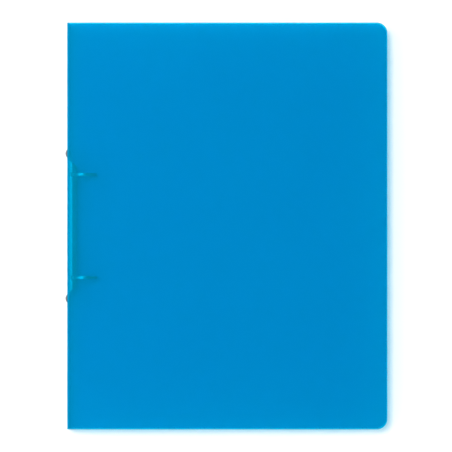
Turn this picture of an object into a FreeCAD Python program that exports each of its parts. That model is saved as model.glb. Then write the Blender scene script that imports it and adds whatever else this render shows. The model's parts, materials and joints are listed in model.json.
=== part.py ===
"""Two-ring binder: a creased polypropylene cover sheet with a riveted ring mechanism.

The binder lies closed on its rear cover. +X runs from the spine to the fore-edge, +Y from the
foot to the head, and +Z up through the thickness. The origin is the centre of the footprint.
The mechanism is drawn in its own frame, on the spine's inner face: X is the height above that
face, Y runs along the spine, and Z runs towards the front cover.
"""

import FreeCAD, Part

import math
import os
import re

import Sketcher

# Driving dimensions: alias, value in millimetres or degrees, what it is
DIMENSIONS = [
    ("cover_width", 248.0, "closed width, outside of spine to fore-edge"),
    ("cover_height", 315.0, "height, foot to head"),
    ("binder_depth", 26.0, "closed depth over both covers"),
    ("sheet_thickness", 0.8, "polypropylene sheet"),
    ("fore_edge_radius", 8.0, "rounded corners at the fore-edge"),
    ("crease_setback", 0.7, "edge of a panel to its crease axis"),
    ("web_thickness", 0.4, "sheet that is left beside a crease"),
    ("ring_spacing", 80.0, "centre to centre, for two-hole paper"),
    ("ring_bore", 16.0, "inner diameter of a closed ring"),
    ("wire_diameter", 2.2, "ring wire"),
    ("ring_centre_height", 12.1, "ring centre above the spine"),
    ("leg_bend_radius", 1.6, "bend between a half ring and its leg"),
    ("leg_inset", 1.2, "leg to the pivot edge of its blade"),
    ("tip_gap", 0.03, "half ring's tip to the middle plane"),
    ("tongue_length", 0.7, "tongue that locates the two tips"),
    ("tongue_root_radius", 0.7, "tongue at the tip"),
    ("tongue_end_radius", 0.35, "tongue at its end"),
    ("tongue_clearance", 0.08, "tongue to its socket, all round"),
    ("tenon_radius", 0.75, "leg's tenon through the blade"),
    ("tenon_clearance", 0.02, "tenon to its hole"),
    ("stake_radius", 1.15, "staked head under the blade"),
    ("stake_thickness", 0.35, "staked head"),
    ("blade_length", 96.0, "blade along the spine"),
    ("blade_thickness", 0.9, "blade"),
    ("blade_reach", 6.35, "pivot edge to the meeting edge"),
    ("blade_dip", 4.5, "slope of a blade with the rings closed"),
    ("pivot_height", 1.6, "pivot edge above the spine"),
    ("pivot_offset", 6.4, "pivot edge from the middle plane"),
    ("steel_thickness", 0.6, "housing steel"),
    ("housing_length", 125.0, "housing over its tongues"),
    ("housing_width", 15.0, "housing over its side walls"),
    ("housing_foot", 0.4, "lower edge of the side walls above the spine"),
    ("housing_shoulder", 3.2, "top of the side walls above the spine"),
    ("housing_crown", 6.0, "top of the arch above the spine"),
    ("shoulder_radius", 1.2, "bend between a side wall and the crown"),
    ("arch_length", 103.0, "arch at its foot"),
    ("arch_end_run", 5.0, "run of the sloping ends"),
    ("lip_width", 0.9, "lip that is rolled in under a blade"),
    ("shoulder_notch_width", 3.0, "slot for a ring in the shoulder"),
    ("shoulder_notch_start", 3.8, "slot's inner end from the middle plane"),
    ("end_tab_width", 11.0, "flat end tab of the housing"),
    ("end_tab_overlap", 0.6, "end tab inside the foot of the arch"),
    ("end_tab_radius", 4.0, "corners of an end tab"),
    ("rivet_spacing", 112.6, "rivet to rivet"),
    ("rivet_head_radius", 3.3, "domed head outside the spine"),
    ("rivet_head_height", 1.7, "domed head above the spine"),
    ("rivet_head_edge", 0.35, "straight edge under the dome"),
    ("rivet_shank_radius", 2.0, "shank"),
    ("rivet_hole_clearance", 0.05, "shank to its holes"),
    ("rivet_flange_radius", 2.8, "rolled end on the housing"),
    ("rivet_flange_height", 0.6, "rolled end above the housing"),
    ("rivet_bore_radius", 1.3, "hollow in the rolled end"),
    ("rivet_bore_depth", 1.2, "hollow below the housing's face"),
]
NAMES = {alias for alias, _, _ in DIMENSIONS}

# Places that several pieces share, as formulas of the dimensions
SPINE_OUTER = "((rivet_head_height - cover_width) / 2)"
SPINE_INNER = f"({SPINE_OUTER} + sheet_thickness)"
CREASE_X = f"({SPINE_OUTER} + sheet_thickness / 2)"
MIDDLE_Z = "binder_depth / 2"
RING_RADIUS = "(ring_bore + wire_diameter) / 2"
# Where a leg's axis crosses the middle of its blade, in the mechanism's frame
LEG_HEIGHT = "(pivot_height - leg_inset * sin(blade_dip))"
LEG_OFFSET = "(pivot_offset - leg_inset * cos(blade_dip))"

X_AXIS, Y_AXIS, Z_AXIS = FreeCAD.Vector(1, 0, 0), FreeCAD.Vector(0, 1, 0), FreeCAD.Vector(0, 0, 1)
TOLERANCE = 1e-6
# The sketcher's numbers for a curve's points, and its name for the sketch's origin
START, END, CENTRE = 1, 2, 3
ORIGIN = (-1, 1)
# The two rings, rivets and blade holes stand at plus and minus half of their spacing
ENDS = (("upper", ""), ("lower", "-"))


def cells(formula):
    """Turn the bare dimension names of a formula into references to the sheet's cells."""
    return re.sub(r"\b[a-z_]+\b", lambda m: f"Dimensions.{m[0]}" if m[0] in NAMES else m[0], formula)


def number(formula):
    """The present value of a formula."""
    return float(FreeCAD.ActiveDocument.Dimensions.evalExpression(cells(formula)))


def bind(obj, **formulas):
    """Set properties from formulas; a double underscore in a name stands for a dot."""
    for path, formula in formulas.items():
        obj.setExpression(path.replace("__", "."), cells(formula))


def make_dimensions(doc):
    sheet = doc.addObject("Spreadsheet::Sheet", "Dimensions")
    for row, (alias, value, note) in enumerate(DIMENSIONS, start=1):
        sheet.set(f"A{row}", note)
        sheet.set(f"B{row}", str(value))
        sheet.setAlias(f"B{row}", alias)
    doc.recompute()


def make_body(doc, name, x="0", y="0", z="0", turn=0):
    """Add a body whose own origin is at (x, y, z), turned about +X by so many degrees."""
    body = doc.addObject("PartDesign::Body", name)
    body.Label = name
    body.Placement = FreeCAD.Placement(FreeCAD.Vector(), FreeCAD.Rotation(X_AXIS, turn))
    bind(body, Placement__Base__x=x, Placement__Base__y=y, Placement__Base__z=z)
    return body


def make_mechanism_body(doc, name, y="0", turn=0):
    """Add a body in the mechanism's frame; a turn of 180 gives the rear half's mirror image."""
    return make_body(doc, name, SPINE_INNER, y, MIDDLE_Z, turn)


def add_sketch(body, name, plane):
    """Attach a sketch to one of the body's origin planes: XY_Plane, XZ_Plane or YZ_Plane."""
    sketch = body.newObject("Sketcher::SketchObject", name)
    support = next(f for f in body.Origin.OriginFeatures if f.Role == plane)
    sketch.AttachmentSupport = (support, [""])
    sketch.MapMode = "FlatFace"
    return sketch


def pin(sketch, geometry, point, x, y):
    """Hold a point of the sketch at (x, y), both formulas."""
    for kind, formula in (("DistanceX", x), ("DistanceY", y)):
        value = number(formula)
        index = sketch.addConstraint(Sketcher.Constraint(kind, *ORIGIN, geometry, point, value))
        sketch.setExpression(f"Constraints[{index}]", cells(formula))


def set_radius(sketch, geometry, formula):
    index = sketch.addConstraint(Sketcher.Constraint("Radius", geometry, number(formula)))
    sketch.setExpression(f"Constraints[{index}]", cells(formula))


def nearer_end(sketch, geometry, point):
    """START or END, whichever of the curve's ends is at the point: an arc may run either way."""
    return START if sketch.getPoint(geometry, START).isEqual(point, TOLERANCE) else END


def vector(x, y):
    return FreeCAD.Vector(number(x), number(y), 0)


def draw_outline(sketch, corners, arcs=None):
    """Draw a closed outline through corners, each an (x, y) pair of formulas.

    arcs maps the number of a side to the (x, y) formulas of a point that its arc passes through.
    """
    arcs = arcs or {}
    sides = []
    for side, corner in enumerate(corners):
        start = vector(*corner)
        end = vector(*corners[(side + 1) % len(corners)])
        if side in arcs:
            curve = Part.ArcOfCircle(start, vector(*arcs[side]), end)
        else:
            curve = Part.LineSegment(start, end)
        index = sketch.addGeometry(curve)
        sides.append((index, nearer_end(sketch, index, start), nearer_end(sketch, index, end)))
    for side, corner in enumerate(corners):
        index, start, _ = sides[side]
        before, _, before_end = sides[side - 1]
        sketch.addConstraint(Sketcher.Constraint("Coincident", before, before_end, index, start))
        pin(sketch, index, start, *corner)
    for side, middle in arcs.items():
        point = sketch.addGeometry(Part.Point(vector(*middle)), True)
        pin(sketch, point, START, *middle)
        sketch.addConstraint(Sketcher.Constraint("PointOnObject", point, START, sides[side][0]))


def draw_rectangle(sketch, x_low, x_high, y_low, y_high):
    draw_outline(sketch, [(x_low, y_low), (x_high, y_low), (x_high, y_high), (x_low, y_high)])


def draw_circle(sketch, x, y, radius):
    circle = sketch.addGeometry(Part.Circle(vector(x, y), Z_AXIS, number(radius)))
    pin(sketch, circle, CENTRE, x, y)
    set_radius(sketch, circle, radius)


def add_pad(body, sketch, length, midplane=False, backwards=False):
    pad = body.newObject("PartDesign::Pad", sketch.Name + "_pad")
    pad.Profile = sketch
    pad.Midplane = midplane
    pad.Reversed = backwards
    bind(pad, Length=length)
    return pad


def add_pocket(body, sketch):
    """Cut the sketch through the whole body, both ways."""
    pocket = body.newObject("PartDesign::Pocket", sketch.Name + "_pocket")
    pocket.Profile = sketch
    pocket.Type = "ThroughAll"
    pocket.Midplane = True
    return pocket


def add_fillet(body, base, edges, radius):
    fillet = body.newObject("PartDesign::Fillet", base.Name + "_fillet")
    fillet.Base = (base, edges)
    bind(fillet, Radius=radius)
    return fillet


def straight_edges(feature, direction, wanted):
    """Names of the straight edges along a direction whose middle point passes a test."""
    names = []
    for index, edge in enumerate(feature.Shape.Edges, start=1):
        if not isinstance(edge.Curve, Part.Line):
            continue
        along = edge.tangentAt(edge.FirstParameter).dot(direction)
        if abs(abs(along) - 1) < TOLERANCE and wanted(edge.CenterOfMass):
            names.append(f"Edge{index}")
    return names


def make_cover(doc, name, z):
    """One cover panel, from its crease to the rounded fore-edge."""
    body = make_body(doc, name, z=z)
    outline = add_sketch(body, name + "_outline", "XY_Plane")
    draw_rectangle(
        outline,
        f"{CREASE_X} + crease_setback",
        f"{SPINE_OUTER} + cover_width",
        "-cover_height / 2",
        "cover_height / 2",
    )
    sheet = add_pad(body, outline, "sheet_thickness")
    doc.recompute()
    corners = straight_edges(sheet, Z_AXIS, lambda middle: middle.x > 0)
    add_fillet(body, sheet, corners, "fore_edge_radius")


def make_spine(doc):
    """The panel between the creases, with a hole for each rivet."""
    body = make_body(doc, "spine", SPINE_OUTER, z=MIDDLE_Z)
    outline = add_sketch(body, "spine_outline", "YZ_Plane")
    half = "binder_depth / 2 - sheet_thickness / 2 - crease_setback"
    draw_rectangle(outline, "-cover_height / 2", "cover_height / 2", f"-({half})", half)
    add_pad(body, outline, "sheet_thickness")
    add_rivet_holes(body, "spine_rivet_holes")


def add_rivet_holes(body, name):
    holes = add_sketch(body, name, "YZ_Plane")
    for _, sign in ENDS:
        draw_circle(holes, f"{sign}rivet_spacing / 2", "0", "rivet_shank_radius + rivet_hole_clearance")
    add_pocket(body, holes)


def make_living_hinge(doc, name, z, turn):
    """A rounded bead on the crease axis and the thin web that joins it to the spine above it."""
    body = make_body(doc, name, CREASE_X, z=z, turn=turn)
    bead = add_sketch(body, name + "_bead", "XZ_Plane")
    draw_circle(bead, "0", "0", "sheet_thickness / 2")
    add_pad(body, bead, "cover_height", midplane=True)
    web = add_sketch(body, name + "_web", "XZ_Plane")
    draw_rectangle(web, "-web_thickness / 2", "web_thickness / 2", "0", "crease_setback")
    add_pad(body, web, "cover_height", midplane=True)


def make_ring_housing(doc):
    """The pressed steel arch over the blades, with flat end tabs for the rivets."""
    body = make_mechanism_body(doc, "ring_housing")
    add_arch(doc, body)
    add_lips(body)
    add_end_tabs(doc, body)
    add_rivet_holes(body, "housing_rivet_holes")
    add_shoulder_notches(body)


def add_arch(doc, body):
    """A hollow arch that is open below, its ends sloping down to the spine."""
    section = add_sketch(body, "arch_section", "XZ_Plane")
    side = "housing_width / 2"
    draw_outline(
        section,
        [
            ("housing_foot", f"-{side}"),
            ("housing_shoulder", f"-{side}"),
            ("housing_shoulder", side),
            ("housing_foot", side),
        ],
        arcs={1: ("housing_crown", "0")},
    )
    arch = add_pad(body, section, "arch_length", midplane=True)
    doc.recompute()
    shoulder = number("housing_shoulder")
    bends = straight_edges(arch, Y_AXIS, lambda middle: abs(middle.x - shoulder) < TOLERANCE)
    add_fillet(body, arch, bends, "shoulder_radius")

    slopes = add_sketch(body, "arch_end_slopes", "XY_Plane")
    above, beyond = "housing_crown + 1", "(arch_length / 2 + 1)"
    for _, sign in ENDS:
        draw_outline(
            slopes,
            [
                ("housing_foot", f"{sign}arch_length / 2"),
                ("housing_crown", f"{sign}(arch_length / 2 - arch_end_run)"),
                (above, f"{sign}(arch_length / 2 - arch_end_run)"),
                (above, f"{sign}{beyond}"),
                ("housing_foot", f"{sign}{beyond}"),
            ],
        )
    solid = add_pocket(body, slopes)
    doc.recompute()

    shell = body.newObject("PartDesign::Thickness", "arch_shell")
    shell.Base = (solid, [face_at_height(solid, "housing_foot")])
    shell.Join = "Intersection"
    shell.Reversed = True
    bind(shell, Value="steel_thickness")


def face_at_height(feature, height):
    """Name of the face whose centre is at a height above the spine."""
    for index, face in enumerate(feature.Shape.Faces, start=1):
        if abs(face.CenterOfMass.x - number(height)) < TOLERANCE:
            return f"Face{index}"
    raise RuntimeError(f"{feature.Name} has no face at {height}")


def add_lips(body):
    """The lower edges of the side walls, rolled in under the blades."""
    lips = add_sketch(body, "rolled_lips", "XZ_Plane")
    top = "housing_foot + steel_thickness"
    for _, sign in ENDS:
        outer = f"{sign}housing_width / 2"
        inner = f"{sign}(housing_width / 2 - steel_thickness - lip_width)"
        draw_outline(lips, [("housing_foot", outer), ("housing_foot", inner), (top, inner), (top, outer)])
    add_pad(body, lips, "arch_length", midplane=True)


def add_end_tabs(doc, body):
    """A flat tab on the spine at each end, rounded at its corners."""
    tabs = add_sketch(body, "end_tabs", "YZ_Plane")
    side = "end_tab_width / 2"
    for _, sign in ENDS:
        root = f"{sign}(arch_length / 2 - end_tab_overlap)"
        tip = f"{sign}housing_length / 2"
        draw_outline(tabs, [(root, f"-{side}"), (tip, f"-{side}"), (tip, side), (root, side)])
    pad = add_pad(body, tabs, "steel_thickness")
    doc.recompute()
    tip = number("housing_length / 2")
    corners = straight_edges(pad, X_AXIS, lambda middle: abs(abs(middle.y) - tip) < TOLERANCE)
    add_fillet(body, pad, corners, "end_tab_radius")


def add_shoulder_notches(body):
    """A slot on each side of each ring, from the shoulder down through the lip."""
    notches = add_sketch(body, "shoulder_notches", "YZ_Plane")
    for _, along in ENDS:
        low = f"{along}ring_spacing / 2 - shoulder_notch_width / 2"
        high = f"{along}ring_spacing / 2 + shoulder_notch_width / 2"
        for across in ("", "-"):
            inner, outer = f"{across}shoulder_notch_start", f"{across}(housing_width / 2 + 1)"
            draw_outline(notches, [(low, inner), (high, inner), (high, outer), (low, outer)])
    add_pocket(body, notches)


def place_on_blade(feature, level):
    """Stand a primitive on the leg's axis, square to the blade, at a level above its middle."""
    feature.Placement = FreeCAD.Placement(FreeCAD.Vector(), FreeCAD.Rotation(Y_AXIS, 90))
    bind(
        feature,
        Placement__Rotation__Angle="90 + blade_dip",
        Placement__Base__x=f"{LEG_HEIGHT} + ({level}) * cos(blade_dip)",
        Placement__Base__z=f"{LEG_OFFSET} - ({level}) * sin(blade_dip)",
    )


def make_blade(doc, name, turn):
    """A steel strip that rocks about its rounded outer edge, with a hole for each leg."""
    body = make_mechanism_body(doc, name, turn=turn)
    section = add_sketch(body, name + "_section", "XZ_Plane")
    section.AttachmentOffset = FreeCAD.Placement(FreeCAD.Vector(), FreeCAD.Rotation(Z_AXIS, -1))
    bind(
        section,
        AttachmentOffset__Base__x="pivot_height",
        AttachmentOffset__Base__y="pivot_offset",
        AttachmentOffset__Rotation__Angle="-blade_dip",
    )
    half = "blade_thickness / 2"
    draw_outline(
        section,
        [(f"-{half}", "0"), (f"-{half}", "-blade_reach"), (half, "-blade_reach"), (half, "0")],
        arcs={3: ("0", half)},
    )
    add_pad(body, section, "blade_length", midplane=True)
    for end, sign in ENDS:
        hole = body.newObject("PartDesign::SubtractiveCylinder", f"{name}_{end}_hole")
        place_on_blade(hole, "-blade_thickness")
        bind(
            hole,
            Radius="tenon_radius + tenon_clearance",
            Height="2 * blade_thickness",
            Placement__Base__y=f"{sign}ring_spacing / 2",
        )


def make_half_ring(doc, name, y, turn, tip):
    """Half a ring: bent wire from the tip to its leg, staked through the blade.

    tip is "tongue" or "socket".
    """
    body = make_mechanism_body(doc, name, y, turn)
    path = add_sketch(body, name + "_path", "XZ_Plane")
    draw_wire_path(path)
    wire = add_sketch(body, name + "_wire", "XY_Plane")
    bind(wire, AttachmentOffset__Base__z="tip_gap")
    draw_circle(wire, f"ring_centre_height + {RING_RADIUS}", "0", "wire_diameter / 2")
    pipe = body.newObject("PartDesign::AdditivePipe", name + "_pipe")
    pipe.Profile = wire
    pipe.Spine = path

    tenon = body.newObject("PartDesign::AdditiveCylinder", name + "_tenon")
    place_on_blade(tenon, "-blade_thickness / 2 - stake_thickness")
    bind(tenon, Radius="tenon_radius", Height="blade_thickness + 2 * stake_thickness")
    stake = body.newObject("PartDesign::AdditiveCylinder", name + "_stake")
    place_on_blade(stake, "-blade_thickness / 2 - stake_thickness")
    bind(stake, Radius="stake_radius", Height="stake_thickness")

    kind = "Additive" if tip == "tongue" else "Subtractive"
    clearance = "0" if tip == "tongue" else "tongue_clearance"
    cone = body.newObject(f"PartDesign::{kind}Cone", f"{name}_{tip}")
    out_of_wire = 180 if tip == "tongue" else 0
    cone.Placement = FreeCAD.Placement(FreeCAD.Vector(), FreeCAD.Rotation(X_AXIS, out_of_wire))
    bind(
        cone,
        Radius1=f"tongue_root_radius + {clearance}",
        Radius2=f"tongue_end_radius + {clearance}",
        Height=f"tongue_length + {clearance}",
        Placement__Base__x=f"ring_centre_height + {RING_RADIUS}",
        Placement__Base__z="tip_gap",
    )


def draw_wire_path(sketch):
    """Ring arc from the tip, a reverse bend, and the straight leg down to the blade's top.

    The curves are first drawn where tangency puts them, so that the solver has nothing to guess.
    """
    radius, bend = number(RING_RADIUS), number("leg_bend_radius")
    centre = vector("ring_centre_height", "tip_gap")
    slope = FreeCAD.Rotation(Z_AXIS, -number("blade_dip"))
    up, outward = slope.multVec(X_AXIS), slope.multVec(Y_AXIS)
    foot_formulas = (
        f"{LEG_HEIGHT} + blade_thickness / 2 * cos(blade_dip)",
        f"{LEG_OFFSET} - blade_thickness / 2 * sin(blade_dip)",
    )
    foot = vector(*foot_formulas)
    # The bend's centre is one bend radius outside the leg, and the bend meets the ring from outside
    beside = foot + outward * bend
    across = (centre - beside).dot(outward)
    rise = (centre - beside).dot(up) - ((radius + bend) ** 2 - across ** 2) ** 0.5
    bend_centre = beside + up * rise
    leg_top = foot + up * rise
    join = centre + (bend_centre - centre).normalize() * radius
    bend_middle = bend_centre + ((join + leg_top) / 2 - bend_centre).normalize() * bend

    ring = sketch.addGeometry(Part.ArcOfCircle(centre + X_AXIS * radius, centre + Y_AXIS * radius, join))
    curve = sketch.addGeometry(Part.ArcOfCircle(join, bend_middle, leg_top))
    leg = sketch.addGeometry(Part.LineSegment(foot, leg_top))
    pin(sketch, ring, CENTRE, "ring_centre_height", "tip_gap")
    set_radius(sketch, ring, RING_RADIUS)
    set_radius(sketch, curve, "leg_bend_radius")
    pin(sketch, leg, START, *foot_formulas)
    for geometry, point in ((ring, join), (leg, leg_top)):
        curve_end = nearer_end(sketch, curve, point)
        sketch.addConstraint(Sketcher.Constraint("Tangent", geometry, END, curve, curve_end))
    level = Sketcher.Constraint("Horizontal", ring, CENTRE, ring, START)
    sketch.addConstraint(level)
    angle = Sketcher.Constraint("Angle", leg, math.radians(-number("blade_dip")))
    index = sketch.addConstraint(angle)
    sketch.setExpression(f"Constraints[{index}]", cells("-blade_dip"))


def make_rivet(doc, name, y):
    """A domed rivet through the spine and an end tab, its hollow end rolled over."""
    body = make_body(doc, name, SPINE_OUTER, y, MIDDLE_Z)
    profile = add_sketch(body, name + "_profile", "XY_Plane")
    tab_face = "(sheet_thickness + steel_thickness)"
    flange_top = f"({tab_face} + rivet_flange_height)"
    flange_width = "(rivet_flange_radius - rivet_bore_radius)"
    draw_outline(
        profile,
        [
            ("-rivet_head_height", "0"),
            ("-rivet_head_edge", "rivet_head_radius"),
            ("0", "rivet_head_radius"),
            ("0", "rivet_shank_radius"),
            (tab_face, "rivet_shank_radius"),
            (tab_face, "rivet_flange_radius"),
            (flange_top, "rivet_bore_radius"),
            (f"{tab_face} - rivet_bore_depth", "rivet_bore_radius"),
            (f"{tab_face} - rivet_bore_depth", "0"),
        ],
        arcs={
            0: dome_point(),
            5: (f"{tab_face} + rivet_flange_height * 3 / 4", f"rivet_bore_radius + {flange_width} * 2 / 3"),
        },
    )
    solid = body.newObject("PartDesign::Revolution", name + "_solid")
    solid.Profile = profile
    solid.ReferenceAxis = (profile, ["H_Axis"])
    solid.Angle = 360


def dome_point():
    """A point half-way up the dome, whose sphere is centred on the rivet's axis."""
    rise = "(rivet_head_height - rivet_head_edge)"
    sphere = f"(({rise} ^ 2 + rivet_head_radius ^ 2) / (2 * {rise}))"
    return (
        f"{sphere} - rivet_head_height - sqrt({sphere} ^ 2 - rivet_head_radius ^ 2 / 4)",
        "rivet_head_radius / 2",
    )


def check_document(doc):
    """Stop if any object failed, or any body is empty, invalid or not one solid."""
    for obj in doc.Objects:
        if "Invalid" in obj.State or "Error" in obj.State:
            raise RuntimeError(f"{obj.Name} did not compute: {obj.State}")
    for body in doc.findObjects("PartDesign::Body"):
        shape = body.Shape
        if shape.isNull() or not shape.isValid() or len(shape.Solids) != 1:
            raise RuntimeError(f"{body.Label} is not one valid solid")


def main():
    doc = FreeCAD.newDocument("RingBinder")
    make_dimensions(doc)
    make_cover(doc, "rear_cover", "0")
    make_cover(doc, "front_cover", "binder_depth - sheet_thickness")
    make_spine(doc)
    make_living_hinge(doc, "rear_living_hinge", "sheet_thickness / 2", turn=0)
    make_living_hinge(doc, "front_living_hinge", "binder_depth - sheet_thickness / 2", turn=180)
    make_ring_housing(doc)
    for side, turn, tip in (("front", 0, "tongue"), ("rear", 180, "socket")):
        make_blade(doc, f"{side}_blade", turn)
        for end, sign in ENDS:
            make_half_ring(doc, f"{end}_ring_{side}_half", f"{sign}ring_spacing / 2", turn, tip)
    for end, sign in ENDS:
        make_rivet(doc, f"{end}_rivet", f"{sign}rivet_spacing / 2")
    doc.recompute()
    check_document(doc)

    os.makedirs("parts", exist_ok=True)
    for body in doc.findObjects("PartDesign::Body"):
        body.Shape.exportStep(f"parts/{body.Label}.step")
        box = body.Shape.BoundBox
        print(f"{body.Label}: {box.XMin:.2f} {box.XMax:.2f} {box.YMin:.2f} {box.YMax:.2f}",
              f"{box.ZMin:.2f} {box.ZMax:.2f} volume {body.Shape.Volume:.2f}")


main()
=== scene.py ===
"""A blue translucent ring binder, closed, on a white table, seen from straight above.

The CAD's metal pieces stay and get better materials. The cover sheet's five nodes are replaced by
two panels, a spine with rivet holes, and two creases, each bent round its hinge.
"""
import json
import math

import bmesh
import bpy
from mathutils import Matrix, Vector, noise


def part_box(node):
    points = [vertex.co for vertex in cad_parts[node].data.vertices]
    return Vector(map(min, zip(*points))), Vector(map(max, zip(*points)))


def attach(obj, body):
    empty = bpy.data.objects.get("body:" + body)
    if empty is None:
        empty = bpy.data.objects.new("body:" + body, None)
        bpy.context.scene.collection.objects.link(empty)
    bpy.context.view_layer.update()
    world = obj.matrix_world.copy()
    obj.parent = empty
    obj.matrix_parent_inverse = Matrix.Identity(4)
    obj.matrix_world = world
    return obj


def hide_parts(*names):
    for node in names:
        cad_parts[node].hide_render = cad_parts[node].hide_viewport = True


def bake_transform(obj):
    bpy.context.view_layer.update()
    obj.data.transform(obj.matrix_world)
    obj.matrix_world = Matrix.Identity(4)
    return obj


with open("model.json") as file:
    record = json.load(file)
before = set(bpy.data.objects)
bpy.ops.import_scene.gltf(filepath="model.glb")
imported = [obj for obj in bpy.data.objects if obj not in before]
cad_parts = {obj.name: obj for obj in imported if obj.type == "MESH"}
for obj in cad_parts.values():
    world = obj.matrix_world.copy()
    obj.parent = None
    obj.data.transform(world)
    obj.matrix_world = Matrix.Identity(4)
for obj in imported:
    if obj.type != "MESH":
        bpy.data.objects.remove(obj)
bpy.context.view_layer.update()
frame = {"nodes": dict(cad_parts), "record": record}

MM = 0.001

# The sheet's shape
EDGE_ROUNDING = 0.14 * MM       # die-cut edges of the sheet
EDGE_STEPS = 2                  # extra segments round an edge
FORE_EDGE_RADIUS = 8 * MM       # a cover's two free corners
CORNER_STEPS = 16               # segments in a rounded corner
RIVET_HOLE_RADIUS = 2.05 * MM
HOLE_STEPS = 40                 # segments round a rivet hole
PANEL_GRID = 11 * MM            # spacing of the mesh lines across a panel
PANEL_BOW = 0.25 * MM           # how far a panel wanders from flat
BOW_START = 0.2                 # share of a cover, from its crease, that stays flat
BOW_RAMP = 0.5                  # share over which the bow grows to full
BOW_WAVES = 7                   # noise features per metre
BOW_BIAS = 0.6                  # lifts the bow, so that it is mostly upward
WEB_THICKNESS = 0.4 * MM        # sheet left in the middle of a crease
WEB_STEPS = 28                  # segments across a crease
CREASE_STEPS = 45               # segments along a crease
WELD = 1e-7                     # vertices nearer than this are one
SMOOTH_ANGLE = math.radians(35)  # edges sharper than this stay sharp

# The sheet's plastic: each face is part see-through, part solid, and part milky
SHEET_BLUES = (0.0, 0.443, 0.583), (0.0, 0.457, 0.601)
SHEET_ROUGHNESS = 0.36, 0.44
SHEET_IOR = 1.49
SHEET_SPECULAR = 0.4
SHEET_SPECULAR_TINT = (0.0, 0.5, 0.9, 1.0)
MILKY_COLOUR = (0.0, 0.43, 0.685, 1.0)
MILKY_SHARE = 0.35              # of what isn't see-through
CLEAR_COLOUR = (0.02, 0.835, 0.98, 1.0)
CLEAR_SHARE = 0.74              # of a face seen square on
GRAZING_SHARE = 0.15            # of a face seen at a slant

# Metals: colour and roughness
WIRE = (0.43, 0.424, 0.405), 0.6
PRESSED_SHEET = (0.3, 0.293, 0.28), 0.56
STRIP = (0.42, 0.41, 0.395), 0.42
RIVET = (0.13, 0.13, 0.126), 0.22
EVEN = (1, 1, 1)                # no direction in the grain
BRUSHED = (4, 0.2, 4)           # grain drawn out along the spine
DRAWN_GRAIN = 0.95              # how far a wire's highlight spreads across it
WORN = 0.86                     # darkness of the handling marks

# Grain sizes, in features per metre, and the heights of the bumps
TINT_SCALE = 22.0
GLOSS_SCALE = 900.0
SAND_SCALE = 2600.0
SAND_HEIGHT = 0.02 * MM
SAND_STRENGTH = 0.6
MARKS_SCALE = 420.0
STREAKS_SCALE = 900.0
STREAKS_HEIGHT = 0.01 * MM
STREAKS_STRENGTH = 0.35

# Framing: the camera is far away and almost without perspective
CAMERA_HEIGHT = 4.0             # above the front cover
FRAME_WIDTH = 350.1 * MM        # what the picture spans at the front cover
CAMERA_SHIFT = Vector((-0.97 * MM, 0.0 * MM))    # view's centre from the cover's centre
SENSOR = 36.0
FAR_CLIP = 50

# Light
WORLD_STRENGTH = 0.46
BACKDROP_STRENGTH = 1.1         # the same world, as the camera sees it
KEY_DIRECTION = (-0.135, 0.135, 1.0)
KEY_WIDTH = 0.27                # angular size in radians
KEY_STRENGTH = 2.3
LEFT = (-1.1, 0.05, 1.5)        # where the fill and the softbox stand
LEFT_SIZE = 1.2
FILL_POWER = 10.0
SOFTBOX_POWER = 230.0
LIGHT_BOUNCES = 24              # enough for the sheet's many layers

# Table
TABLE_HALF_SIDE = 6.0
TABLE_DROP = 0.02 * MM          # below the binder, so that the faces don't coincide
TABLE_GREYS = 0.89, 0.9
TABLE_SCALE = 3.0
TABLE_ROUGHNESS = 0.9


def joint(name):
    """A joint's place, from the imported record."""
    joints = frame["record"]["behaviour"]["joints"]
    return Vector(next(j["pos_m"] for j in joints if j["name"] == name))


def new_piece(name, mesh, node):
    """Add a mesh object of the cover sheet that stands for a CAD node."""
    mesh.materials.clear()
    mesh.materials.append(polypropylene)
    piece = bpy.data.objects.new(name, mesh)
    bpy.context.scene.collection.objects.link(piece)
    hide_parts(node)
    return piece


def shade_smooth_by_angle(mesh):
    mesh.shade_smooth()
    mesh.set_sharp_from_angle(angle=SMOOTH_ANGLE)


# ---------------------------------------------------------------- materials


def node_material(name):
    """A material with a Principled shader on its output."""
    material = bpy.data.materials.new(name)
    material.use_nodes = True
    nodes = material.node_tree.nodes
    nodes.clear()
    output = nodes.new("ShaderNodeOutputMaterial")
    shader = nodes.new("ShaderNodeBsdfPrincipled")
    material.node_tree.links.new(shader.outputs["BSDF"], output.inputs["Surface"])
    return material, material.node_tree, shader


def add_noise(tree, scale, detail=4.0, roughness=0.5, stretch=EVEN):
    """Noise in the object's own metres: scale is features per metre."""
    place = tree.nodes.new("ShaderNodeTexCoord")
    mapping = tree.nodes.new("ShaderNodeMapping")
    mapping.inputs["Scale"].default_value = stretch
    texture = tree.nodes.new("ShaderNodeTexNoise")
    texture.inputs["Scale"].default_value = scale
    texture.inputs["Detail"].default_value = detail
    texture.inputs["Roughness"].default_value = roughness
    tree.links.new(place.outputs["Object"], mapping.inputs["Vector"])
    tree.links.new(mapping.outputs["Vector"], texture.inputs["Vector"])
    return texture.outputs["Fac"]


def add_ramp(tree, factor, start, end, values):
    """Run between two colours or greys as a factor goes from start to end."""
    node = tree.nodes.new("ShaderNodeValToRGB")
    for element, position, value in zip(node.color_ramp.elements, (start, end), values):
        element.position = position
        element.color = (value, value, value, 1.0) if isinstance(value, float) else (*value, 1.0)
    tree.links.new(factor, node.inputs["Fac"])
    return node.outputs["Color"]


def add_bump(tree, shader, height, distance, strength):
    bump = tree.nodes.new("ShaderNodeBump")
    bump.inputs["Distance"].default_value = distance
    bump.inputs["Strength"].default_value = strength
    tree.links.new(height, bump.inputs["Height"])
    tree.links.new(bump.outputs["Normal"], shader.inputs["Normal"])


def mix_shaders(tree, share, first, second):
    """Mix two shaders; share is how much of the second there is."""
    mix = tree.nodes.new("ShaderNodeMixShader")
    mix.inputs["Fac"].default_value = share
    tree.links.new(first.outputs[0], mix.inputs[1])
    tree.links.new(second.outputs[0], mix.inputs[2])
    return mix


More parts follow.
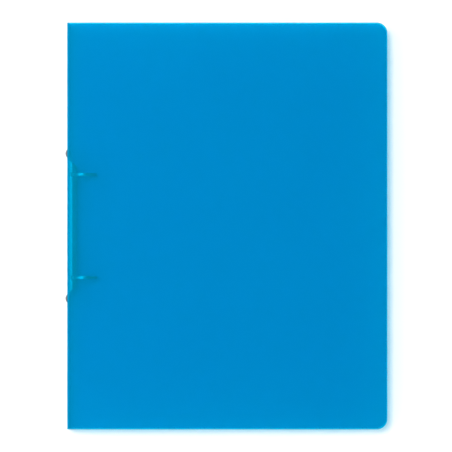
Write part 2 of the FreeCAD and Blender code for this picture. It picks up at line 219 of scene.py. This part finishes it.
def make_polypropylene():
    """Blue translucent polypropylene with a fine sand-blasted grain."""
    material, tree, shader = node_material("blue polypropylene")
    tint = add_noise(tree, TINT_SCALE, detail=2.0)
    tree.links.new(add_ramp(tree, tint, 0.3, 0.7, SHEET_BLUES), shader.inputs["Base Color"])
    gloss = add_noise(tree, GLOSS_SCALE)
    tree.links.new(add_ramp(tree, gloss, 0.3, 0.7, SHEET_ROUGHNESS), shader.inputs["Roughness"])
    shader.inputs["IOR"].default_value = SHEET_IOR
    shader.inputs["Specular IOR Level"].default_value = SHEET_SPECULAR
    shader.inputs["Specular Tint"].default_value = SHEET_SPECULAR_TINT
    add_bump(tree, shader, add_noise(tree, SAND_SCALE, detail=2.0), SAND_HEIGHT, SAND_STRENGTH)

    milky = tree.nodes.new("ShaderNodeBsdfTranslucent")
    milky.inputs["Color"].default_value = MILKY_COLOUR
    solid = mix_shaders(tree, MILKY_SHARE, shader, milky)
    clear = tree.nodes.new("ShaderNodeBsdfTransparent")
    clear.inputs["Color"].default_value = CLEAR_COLOUR
    sheet = mix_shaders(tree, CLEAR_SHARE, solid, clear)
    slant = tree.nodes.new("ShaderNodeLayerWeight")
    share = tree.nodes.new("ShaderNodeMapRange")
    share.inputs["To Min"].default_value = CLEAR_SHARE
    share.inputs["To Max"].default_value = GRAZING_SHARE
    tree.links.new(slant.outputs["Facing"], share.inputs["Value"])
    tree.links.new(share.outputs["Result"], sheet.inputs["Fac"])
    output = next(n for n in tree.nodes if n.type == "OUTPUT_MATERIAL")
    tree.links.new(sheet.outputs[0], output.inputs["Surface"])
    return material


def make_nickel(name, metal, grain=EVEN, drawn=False):
    """Nickel plate: a warm grey metal with faint streaks and handling marks."""
    colour, roughness = metal
    material, tree, shader = node_material(name)
    shader.inputs["Metallic"].default_value = 1.0
    worn = tuple(c * WORN for c in colour)
    marks = add_noise(tree, MARKS_SCALE, detail=6.0, roughness=0.6)
    tree.links.new(add_ramp(tree, marks, 0.35, 0.62, (worn, colour)), shader.inputs["Base Color"])
    streaks = add_noise(tree, STREAKS_SCALE, detail=3.0, stretch=grain)
    span = (roughness * 0.8, roughness * 1.25)
    tree.links.new(add_ramp(tree, streaks, 0.3, 0.7, span), shader.inputs["Roughness"])
    add_bump(tree, shader, streaks, STREAKS_HEIGHT, STREAKS_STRENGTH)
    if drawn:
        add_drawn_grain(tree, shader)
    return material


def add_drawn_grain(tree, shader):
    """Drawn wire spreads a highlight across itself; each ring stands in a plane square to Y."""
    across = tree.nodes.new("ShaderNodeCombineXYZ")
    across.inputs["Y"].default_value = 1.0
    tree.links.new(across.outputs["Vector"], shader.inputs["Tangent"])
    shader.inputs["Anisotropic"].default_value = DRAWN_GRAIN


def make_table():
    material, tree, shader = node_material("white table")
    colour = add_ramp(tree, add_noise(tree, TABLE_SCALE), 0.3, 0.7, TABLE_GREYS)
    tree.links.new(colour, shader.inputs["Base Color"])
    shader.inputs["Roughness"].default_value = TABLE_ROUGHNESS
    shader.inputs["Specular IOR Level"].default_value = 0.0
    return material


# ---------------------------------------------------------------- the cover sheet


def rounded_rectangle(low, high, radii):
    """Outline points, anticlockwise; radii are for the corners from (low, low) round."""
    corners = [(low[0], low[1]), (high[0], low[1]), (high[0], high[1]), (low[0], high[1])]
    inward = [(1, 1), (-1, 1), (-1, -1), (1, -1)]
    points = []
    for index, (corner, side, radius) in enumerate(zip(corners, inward, radii)):
        centre_x = corner[0] + side[0] * radius
        centre_y = corner[1] + side[1] * radius
        start = math.pi + index * math.pi / 2
        steps = CORNER_STEPS if radius else 0
        for step in range(steps + 1):
            angle = start + (math.pi / 2) * (step / steps if steps else 0)
            points.append((centre_x + radius * math.cos(angle), centre_y + radius * math.sin(angle)))
    return points


def circle(centre, radius):
    angles = [2 * math.pi * i / HOLE_STEPS for i in range(HOLE_STEPS)]
    return [(centre[0] + radius * math.cos(a), centre[1] + radius * math.sin(a)) for a in angles]


def plate_mesh(name, outlines, thickness):
    """A closed plate about z = 0 with rounded edges; the first outline is its rim, the rest holes."""
    curve = bpy.data.curves.new(name, "CURVE")
    curve.dimensions = "2D"
    curve.fill_mode = "BOTH"
    curve.extrude = thickness / 2 - EDGE_ROUNDING
    curve.bevel_depth = EDGE_ROUNDING
    curve.bevel_resolution = EDGE_STEPS
    curve.offset = -EDGE_ROUNDING
    for outline in outlines:
        spline = curve.splines.new("POLY")
        spline.points.add(len(outline) - 1)
        for point, (x, y) in zip(spline.points, outline):
            point.co = (x, y, 0, 1)
        spline.use_cyclic_u = True
    holder = bpy.data.objects.new(name, curve)
    mesh = bpy.data.meshes.new_from_object(holder)
    bpy.data.objects.remove(holder)
    bpy.data.curves.remove(curve)
    return mesh


def clean_grid(mesh, low, high):
    """Merge the plate's seams and cut it into a grid, so that it can bow."""
    work = bmesh.new()
    work.from_mesh(mesh)
    bmesh.ops.remove_doubles(work, verts=work.verts, dist=WELD)
    for axis in (0, 1):
        normal = Vector((0, 0, 0))
        normal[axis] = 1
        count = round((high[axis] - low[axis]) / PANEL_GRID)
        for step in range(1, count):
            place = normal * (low[axis] + (high[axis] - low[axis]) * step / count)
            geometry = [*work.verts, *work.edges, *work.faces]
            bmesh.ops.bisect_plane(work, geom=geometry, plane_co=place, plane_no=normal)
    bmesh.ops.recalc_face_normals(work, faces=work.faces)
    work.to_mesh(mesh)
    work.free()


def make_cover(name, node, noise_layer):
    """A cover panel, flat by its crease and slightly bowed beyond."""
    low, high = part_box(node)
    outline = rounded_rectangle(low, high, (0, FORE_EDGE_RADIUS, FORE_EDGE_RADIUS, 0))
    mesh = plate_mesh(name, [outline], high[2] - low[2])
    clean_grid(mesh, low, high)
    middle = (low[2] + high[2]) / 2
    for vertex in mesh.vertices:
        from_crease = (vertex.co.x - low[0]) / (high[0] - low[0])
        ease = min(1.0, max(0.0, (from_crease - BOW_START) / BOW_RAMP))
        place = (vertex.co.x * BOW_WAVES, vertex.co.y * BOW_WAVES, noise_layer)
        wander = noise.noise(place) + BOW_BIAS
        vertex.co.z += middle + PANEL_BOW * ease * ease * wander
    shade_smooth_by_angle(mesh)
    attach(new_piece(name, mesh, node), node)


def make_spine():
    """The spine panel, made lying down and then stood up; the rivets go through its holes."""
    low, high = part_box("spine")
    rim = rounded_rectangle((low[1], low[2]), (high[1], high[2]), (0, 0, 0, 0))
    holes = []
    for node in ("upper_rivet", "lower_rivet"):
        rivet_low, rivet_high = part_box(node)
        centre = ((rivet_low[1] + rivet_high[1]) / 2, (rivet_low[2] + rivet_high[2]) / 2)
        holes.append(circle(centre, RIVET_HOLE_RADIUS))
    mesh = plate_mesh("spine_sheet", [rim, *holes], high[0] - low[0])
    clean_grid(mesh, (low[1], low[2]), (high[1], high[2]))
    middle = (low[0] + high[0]) / 2
    for vertex in mesh.vertices:
        y, z, x = vertex.co
        vertex.co = (middle + x, y, z)
    shade_smooth_by_angle(mesh)
    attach(new_piece("spine_sheet", mesh, "spine"), "spine")


def crease_section(setback, full, up):
    """Outline of the bent sheet, thinned in the middle, from the spine's side to the cover's."""
    outer = []
    inner = []
    for step in range(WEB_STEPS + 1):
        turn = (math.pi / 2) * step / WEB_STEPS
        pinch = math.sin(turn * 2) ** 2
        half = (full * (1 - pinch) + WEB_THICKNESS * pinch) / 2
        out = Vector((-math.cos(turn), up * math.sin(turn)))
        centre = Vector((setback, -up * setback)) + out * setback
        outer.append(centre + out * half)
        inner.append(centre - out * half)
    return outer + inner[::-1]


def make_crease(name, node, hinge, cover_body, up):
    """The sheet bent round a crease; up is +1 for the front cover's crease and -1 for the rear's."""
    low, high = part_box(node)
    cover_low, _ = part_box(cover_body)
    axis = joint(hinge)
    setback = cover_low[0] - axis.x
    full = high[0] - low[0]
    section = crease_section(setback, full, up)
    work = bmesh.new()
    loops = []
    for step in range(CREASE_STEPS + 1):
        y = low[1] + (high[1] - low[1]) * step / CREASE_STEPS
        loops.append([work.verts.new((axis.x + p.x, y, axis.z + p.y)) for p in section])
    for near, far in zip(loops, loops[1:]):
        for index in range(len(section)):
            after = (index + 1) % len(section)
            work.faces.new((near[index], near[after], far[after], far[index]))
    for loop in (loops[0], loops[-1]):
        for index in range(WEB_STEPS):
            work.faces.new((loop[index], loop[index + 1], loop[-index - 2], loop[-index - 1]))
    bmesh.ops.recalc_face_normals(work, faces=work.faces)
    mesh = bpy.data.meshes.new(name)
    work.to_mesh(mesh)
    work.free()
    shade_smooth_by_angle(mesh)
    piece = new_piece(name, mesh, node)
    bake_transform(piece)


# ---------------------------------------------------------------- picture


def make_camera():
    """Look straight down at the front cover."""
    low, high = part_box("front_cover")
    spine_low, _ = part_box("spine")
    centre = Vector(((spine_low[0] + high[0]) / 2, (low[1] + high[1]) / 2))
    camera = bpy.data.cameras.new("camera")
    camera.sensor_width = SENSOR
    camera.lens = SENSOR * CAMERA_HEIGHT / FRAME_WIDTH
    camera.clip_end = FAR_CLIP
    holder = bpy.data.objects.new("camera", camera)
    holder.location = (centre.x + CAMERA_SHIFT.x, centre.y + CAMERA_SHIFT.y, high[2] + CAMERA_HEIGHT)
    bpy.context.scene.collection.objects.link(holder)
    bpy.context.scene.camera = holder


def add_left_light(name, power, **seen_by):
    """A square light on the left, aimed at the binder; seen_by says which rays see it."""
    light = bpy.data.lights.new(name, "AREA")
    light.shape = "SQUARE"
    light.size = LEFT_SIZE
    light.energy = power
    holder = bpy.data.objects.new(name, light)
    holder.location = LEFT
    holder.rotation_euler = (-Vector(LEFT)).to_track_quat("-Z", "Y").to_euler()
    holder.visible_camera = False
    for kind, seen in seen_by.items():
        setattr(holder, f"visible_{kind}", seen)
    bpy.context.scene.collection.objects.link(holder)


def add_key():
    """A soft even light from above, which puts the shadows at the right and the foot."""
    light = bpy.data.lights.new("key", "SUN")
    light.angle = KEY_WIDTH
    light.energy = KEY_STRENGTH
    holder = bpy.data.objects.new("key", light)
    holder.rotation_euler = Vector(KEY_DIRECTION).to_track_quat("Z", "Y").to_euler()
    bpy.context.scene.collection.objects.link(holder)


def make_light():
    world = bpy.data.worlds.new("studio")
    bpy.context.scene.world = world
    world.use_nodes = True
    background = world.node_tree.nodes["Background"]
    background.inputs["Color"].default_value = (1, 1, 1, 1)
    path = world.node_tree.nodes.new("ShaderNodeLightPath")
    strength = world.node_tree.nodes.new("ShaderNodeMapRange")
    strength.inputs["To Min"].default_value = WORLD_STRENGTH
    strength.inputs["To Max"].default_value = BACKDROP_STRENGTH
    world.node_tree.links.new(path.outputs["Is Camera Ray"], strength.inputs["Value"])
    world.node_tree.links.new(strength.outputs["Result"], background.inputs["Strength"])
    add_key()
    add_left_light("left fill", FILL_POWER, glossy=False)
    add_left_light("left softbox", SOFTBOX_POWER, diffuse=False)


def make_floor():
    mesh = bpy.data.meshes.new("table")
    corners = [(-1, -1), (1, -1), (1, 1), (-1, 1)]
    vertices = [(x * TABLE_HALF_SIDE, y * TABLE_HALF_SIDE, 0) for x, y in corners]
    mesh.from_pydata(vertices, [], [(0, 1, 2, 3)])
    mesh.materials.append(make_table())
    table = bpy.data.objects.new("table", mesh)
    table.location.z = -TABLE_DROP
    bpy.context.scene.collection.objects.link(table)


# ---------------------------------------------------------------- the whole scene

polypropylene = make_polypropylene()
nickel_wire = make_nickel("nickel wire", WIRE, drawn=True)
nickel_sheet = make_nickel("nickel sheet", PRESSED_SHEET, BRUSHED)
steel_strip = make_nickel("steel strip", STRIP, BRUSHED)
nickel_rivet = make_nickel("nickel rivet", RIVET)

make_camera()
make_cover("front_cover_sheet", "front_cover", -3.0)
make_cover("rear_cover_sheet", "rear_cover", 3.0)
make_spine()
make_crease("front_crease", "front_living_hinge", "front_cover_hinge", "front_cover", 1)
make_crease("rear_crease", "rear_living_hinge", "rear_cover_hinge", "rear_cover", -1)
metals = {
    "ring_housing": nickel_sheet,
    "front_blade": steel_strip,
    "rear_blade": steel_strip,
    "upper_rivet": nickel_rivet,
    "lower_rivet": nickel_rivet,
}
for name, node in frame["nodes"].items():
    material = metals.get(name, nickel_wire if "_ring_" in name else None)
    if material:
        node.material_slots[0].material = material
make_floor()
make_light()
bpy.context.scene.view_settings.view_transform = "Standard"
bpy.context.scene.cycles.max_bounces = LIGHT_BOUNCES
bpy.context.scene.cycles.transparent_max_bounces = LIGHT_BOUNCES
